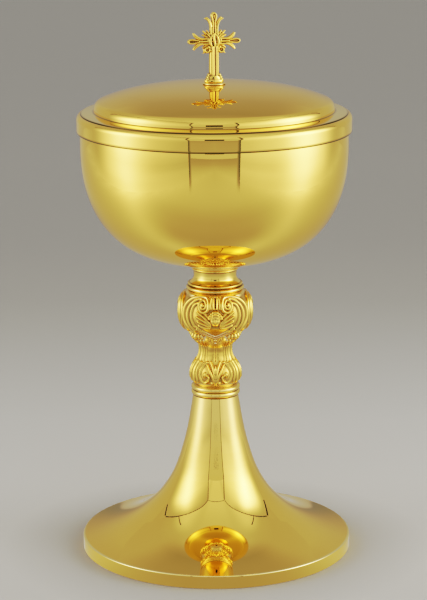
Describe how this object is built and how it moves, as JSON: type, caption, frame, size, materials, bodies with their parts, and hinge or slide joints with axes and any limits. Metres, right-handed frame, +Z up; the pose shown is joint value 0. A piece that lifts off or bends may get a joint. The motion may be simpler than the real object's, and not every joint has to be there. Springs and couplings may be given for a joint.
{
  "type": "pyx",
  "caption": "Covered, footed pyx: a round polished cup on a trumpet foot with an ornamented cast knop, and a stepped lift-off cover topped by a small cross.",
  "frame": {"origin": "centre of the foot's standing ring, on the plane it stands on", "axes": "+Z up along the stem axis; -Y is the front; the cover is stored with its cross turned 13 degrees from facing -Y, as it sits in the picture"},
  "size_m": [0.1252, 0.1252, 0.25],
  "materials": {
    "gold_polished": "mirror-polished gold plate on spun and turned brass",
    "gold_cast": "gold plate on cast brass, raised ornament polished, recesses duller",
    "brass_turned": "plain turned brass, fine tool lines",
    "steel_plated": "zinc-plated steel hardware"
  },
  "bodies": {
    "base": {"bowl": "gold_polished", "bowl_boss": "brass_turned", "bowl_collar": "gold_polished", "collar_ring": "gold_polished", "knop": "gold_cast", "stem_ring": "gold_polished", "tie_rod": "steel_plated", "foot": "gold_polished", "foot_bush": "brass_turned", "foot_washer": "steel_plated", "spring_washer": "steel_plated", "foot_nut": "brass_turned", "foot_rim_ring": "brass_turned"},
    "lid": {"lid_shell": "gold_polished", "finial_base": "gold_polished", "finial_cross": "gold_cast", "finial_stud": "steel_plated", "finial_washer": "brass_turned", "finial_nut": "brass_turned"}
  },
  "joints": [
    {"name": "lid_lift", "type": "slide", "parent": "base", "child": "lid", "axis": [0, 0, 1], "range_m": [0, 0.1]}
  ]
}
